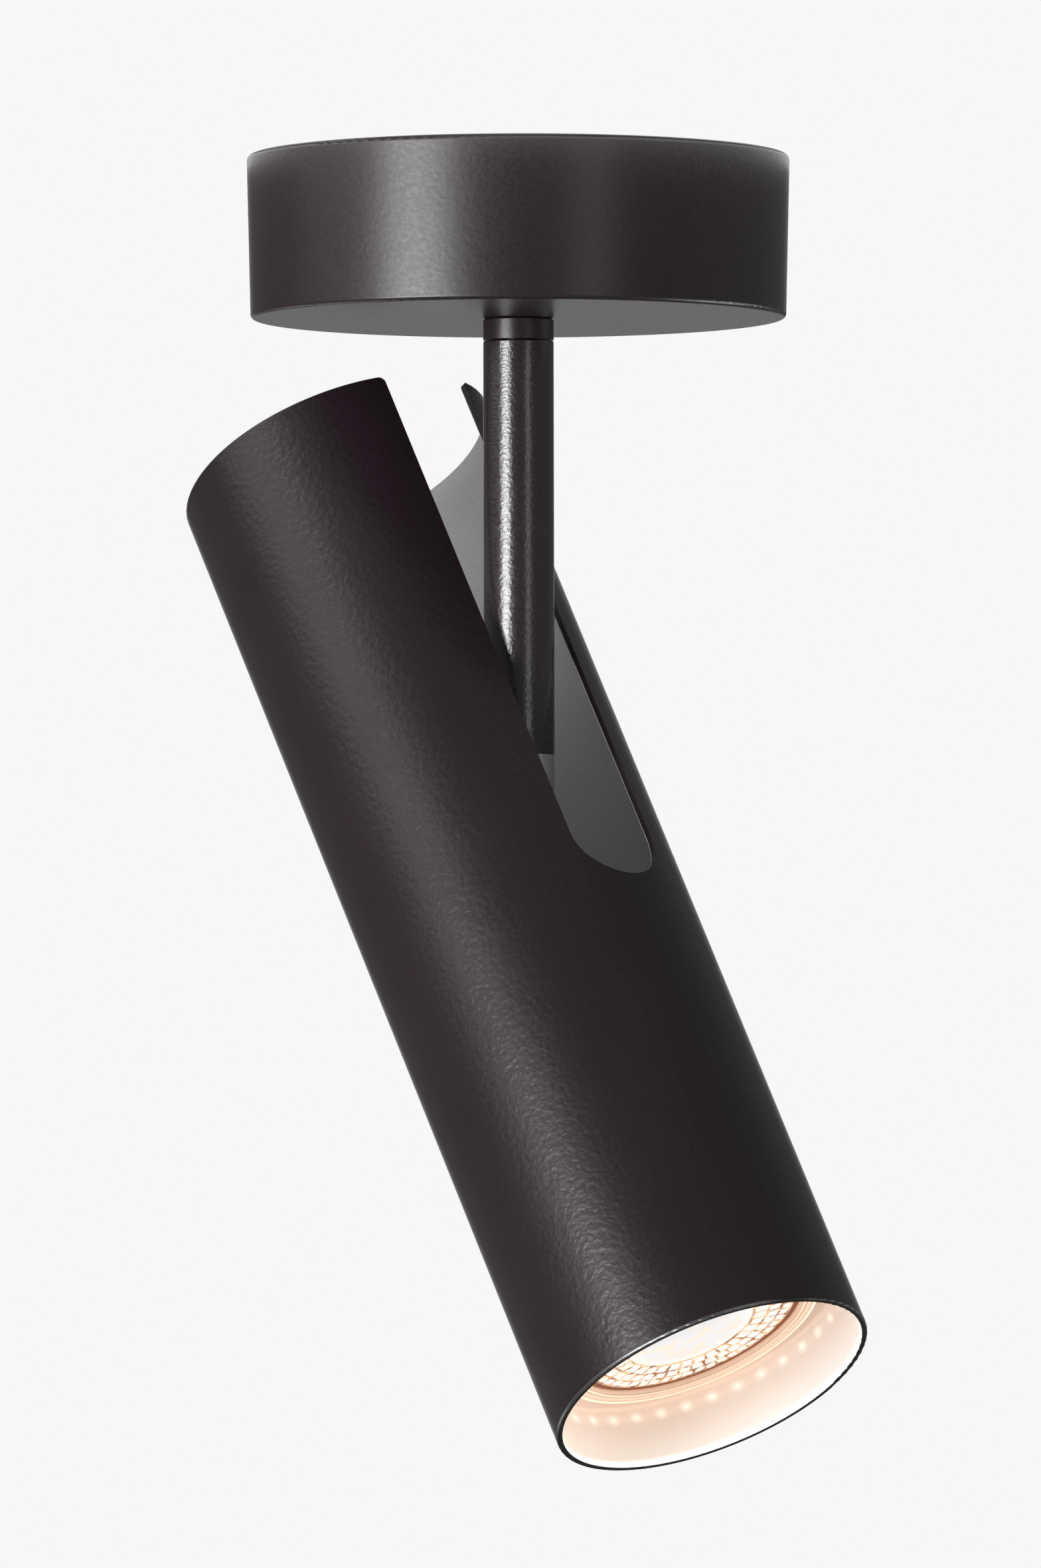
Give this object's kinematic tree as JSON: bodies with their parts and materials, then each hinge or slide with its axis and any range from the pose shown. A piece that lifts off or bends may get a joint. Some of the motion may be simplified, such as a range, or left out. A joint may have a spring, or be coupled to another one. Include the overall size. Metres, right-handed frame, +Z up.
{
  "type": "ceiling spotlight",
  "caption": "Ceiling spotlight with a round canopy, a swivelling stem and a slotted tube that tilts on a hinge inside it, with a twist-lock reflector lamp recessed in its mouth.",
  "frame": {"origin": "centre of the canopy's rim in the plane of the ceiling, midway between the two ceiling screws", "axes": "+Z up into the ceiling along the swivel's axis, Y along the tilt hinge, and the tube's mouth leans towards +X"},
  "size_m": [0.1547, 0.1, 0.2418],
  "materials": {
    "black_paint": "satin black powder coat",
    "stem_paint": "black paint, a little glossier than the canopy",
    "shade_paint": "satin black outside, white lacquer inside",
    "black_screw": "blackened steel",
    "zinc_steel": "zinc plated steel",
    "spring_steel": "oiled spring steel",
    "nickel_plate": "bright nickel plate",
    "nickel_pin": "nickel plated brass",
    "brass": "plain brass",
    "rubber": "matt black rubber",
    "terminal_plastic": "natural white plastic",
    "nylon": "natural nylon",
    "ceramic": "unglazed white ceramic",
    "bezel_plastic": "white lamp rim",
    "lamp_plastic": "white heat resisting plastic",
    "lens": "clear faceted front",
    "lamp_board": "white circuit board",
    "emitter": "yellow phosphor"
  },
  "bodies": {
    "ceiling_base": {"canopy": "black_paint", "ceiling_bracket": "zinc_steel", "canopy_screws": "black_screw", "cable_grommet": "rubber", "terminal_block": "terminal_plastic", "terminal_sleeves": "brass", "terminal_screws": "zinc_steel", "terminal_fixing_screw": "zinc_steel", "earth_washer": "brass", "earth_screw": "brass", "swivel_collar": "black_paint", "swivel_stop_plate": "zinc_steel", "collar_nut": "zinc_steel"},
    "stem": {"swivel_friction_washer": "nylon", "swivel_stop_arm": "zinc_steel", "swivel_spring_washer": "spring_steel", "swivel_nut": "zinc_steel", "swivel_nipple": "zinc_steel", "nipple_bush": "nylon", "stem_plug": "zinc_steel", "stem_tube": "stem_paint", "hinge_knuckle": "nickel_plate"},
    "spot_head": {"pivot_fork": "zinc_steel", "pivot_bolt": "zinc_steel", "pivot_washers": "nylon", "pivot_spring_washer": "spring_steel", "pivot_nut": "zinc_steel", "shade_tube": "shade_paint", "bulkhead": "zinc_steel", "bulkhead_grommet": "rubber", "shade_screws": "black_screw", "lamp_holder": "ceramic", "holder_contacts": "brass", "holder_screws": "zinc_steel"},
    "lamp": {"lamp_bezel": "bezel_plastic", "lamp_lens": "lens", "lamp_shell": "lamp_plastic", "lamp_board": "lamp_board", "lamp_leds": "emitter", "lamp_cap": "lamp_plastic", "lamp_pins": "nickel_pin"}
  },
  "joints": [
    {"name": "stem_swivel", "type": "hinge", "parent": "ceiling_base", "child": "stem", "pos_m": [0, 0, -0.034], "axis": [0, 0, 1], "range_deg": [-165, 165]},
    {"name": "head_tilt", "type": "hinge", "parent": "stem", "child": "spot_head", "pos_m": [0, 0, -0.139], "axis": [0, -1, 0], "range_deg": [-31, 59]},
    {"name": "lamp_twist", "type": "hinge", "parent": "spot_head", "child": "lamp", "pos_m": [0.04687, 0, -0.217], "axis": [0.515, 0, -0.8572], "range_deg": [0, 40]}
  ]
}
